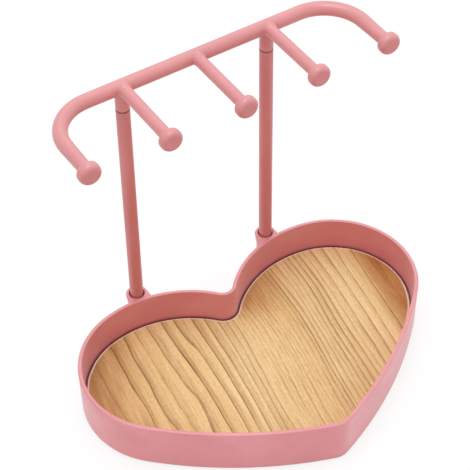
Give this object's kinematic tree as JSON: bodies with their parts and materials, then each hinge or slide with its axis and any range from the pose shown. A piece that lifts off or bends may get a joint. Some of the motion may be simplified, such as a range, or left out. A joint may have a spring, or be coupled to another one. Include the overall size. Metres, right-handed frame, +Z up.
{
  "type": "jewelry stand",
  "caption": "Heart-shaped jewelry tray with a lift-out wooden panel, and a peg bar for necklaces held above it on plug-in posts.",
  "frame": {"origin": "on the standing surface, under the middle of the overall box", "axes": "+X along the hanger bar, +Y to the back where the posts stand, +Z up; the heart's tip and the pegs point to -Y"},
  "size_m": [0.2764, 0.195, 0.2488],
  "materials": {
    "tray": "satin, moulded pink",
    "wood": "clear matt lacquer on pale open-grained wood",
    "post": "satin pink coating",
    "plug": "moulded, plain",
    "hanger": "satin, moulded pink",
    "foot": "soft matt pad"
  },
  "bodies": {
    "tray": {"tray_shell": "tray", "front_foot": "foot", "left_side_foot": "foot", "right_side_foot": "foot", "left_back_foot": "foot", "right_back_foot": "foot"},
    "panel": {"wood_panel": "wood"},
    "posts": {"left_post": "post", "right_post": "post", "left_post_plug": "plug", "right_post_plug": "plug"},
    "bar": {"hanger_bar": "hanger"}
  },
  "joints": [
    {"name": "panel_lift", "type": "slide", "parent": "tray", "child": "panel", "axis": [0, 0, 1], "range_m": [0, 0.05]},
    {"name": "posts_lift", "type": "slide", "parent": "tray", "child": "posts", "axis": [0, 0, 1], "range_m": [0, 0.045]},
    {"name": "bar_lift", "type": "slide", "parent": "posts", "child": "bar", "axis": [0, 0, 1], "range_m": [0, 0.03]}
  ]
}
